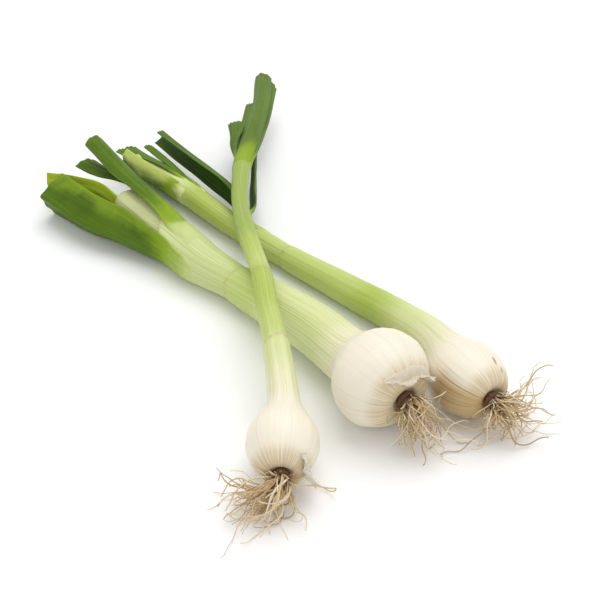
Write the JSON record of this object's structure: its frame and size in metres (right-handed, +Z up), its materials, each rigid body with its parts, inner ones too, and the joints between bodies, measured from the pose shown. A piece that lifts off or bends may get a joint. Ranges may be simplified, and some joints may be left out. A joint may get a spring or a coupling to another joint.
{
  "type": "spring onion bunch",
  "caption": "Loose bunch of spring onions lying down, one across the others, with swollen white bulbs, dry root tufts, pale sheathed stems and trimmed, folded green leaves.",
  "frame": {"origin": "under the middle of the bunch's box, on the table", "axes": "+Z up, off the table; the bulbs and roots lie towards -Y and the cut leaves towards +Y and -X"},
  "size_m": [0.2782, 0.3654, 0.0502],
  "materials": {
    "bulb": "satin white and cream skin with faint ribs",
    "stem": "satin, pale yellow-green with fine veins",
    "leaf": "waxy green with fine parallel veins",
    "root": "dry, tan and wiry",
    "skin": "thin, papery and slightly see-through"
  },
  "bodies": {
    "root": {"large_bulb": "bulb", "large_roots": "root", "large_stem": "stem", "large_leaf_outer": "leaf", "large_leaf_raised": "leaf", "large_leaf_bright": "leaf", "large_leaf_back": "leaf", "large_loose_skin": "skin", "middle_bulb": "bulb", "middle_roots": "root", "middle_stem": "stem", "middle_leaf_side": "leaf", "middle_leaf_front": "leaf", "middle_leaf_short": "leaf", "middle_leaf_top": "leaf", "middle_leaf_under": "leaf", "crossing_bulb": "bulb", "crossing_roots": "root", "crossing_stem_lower": "stem", "crossing_stem_middle": "stem", "crossing_stem_upper": "stem", "crossing_leaf_main": "leaf", "crossing_leaf_right": "leaf", "crossing_leaf_left": "leaf", "crossing_leaf_drooping": "leaf", "crossing_leaf_short": "leaf"}
  },
  "joints": []
}
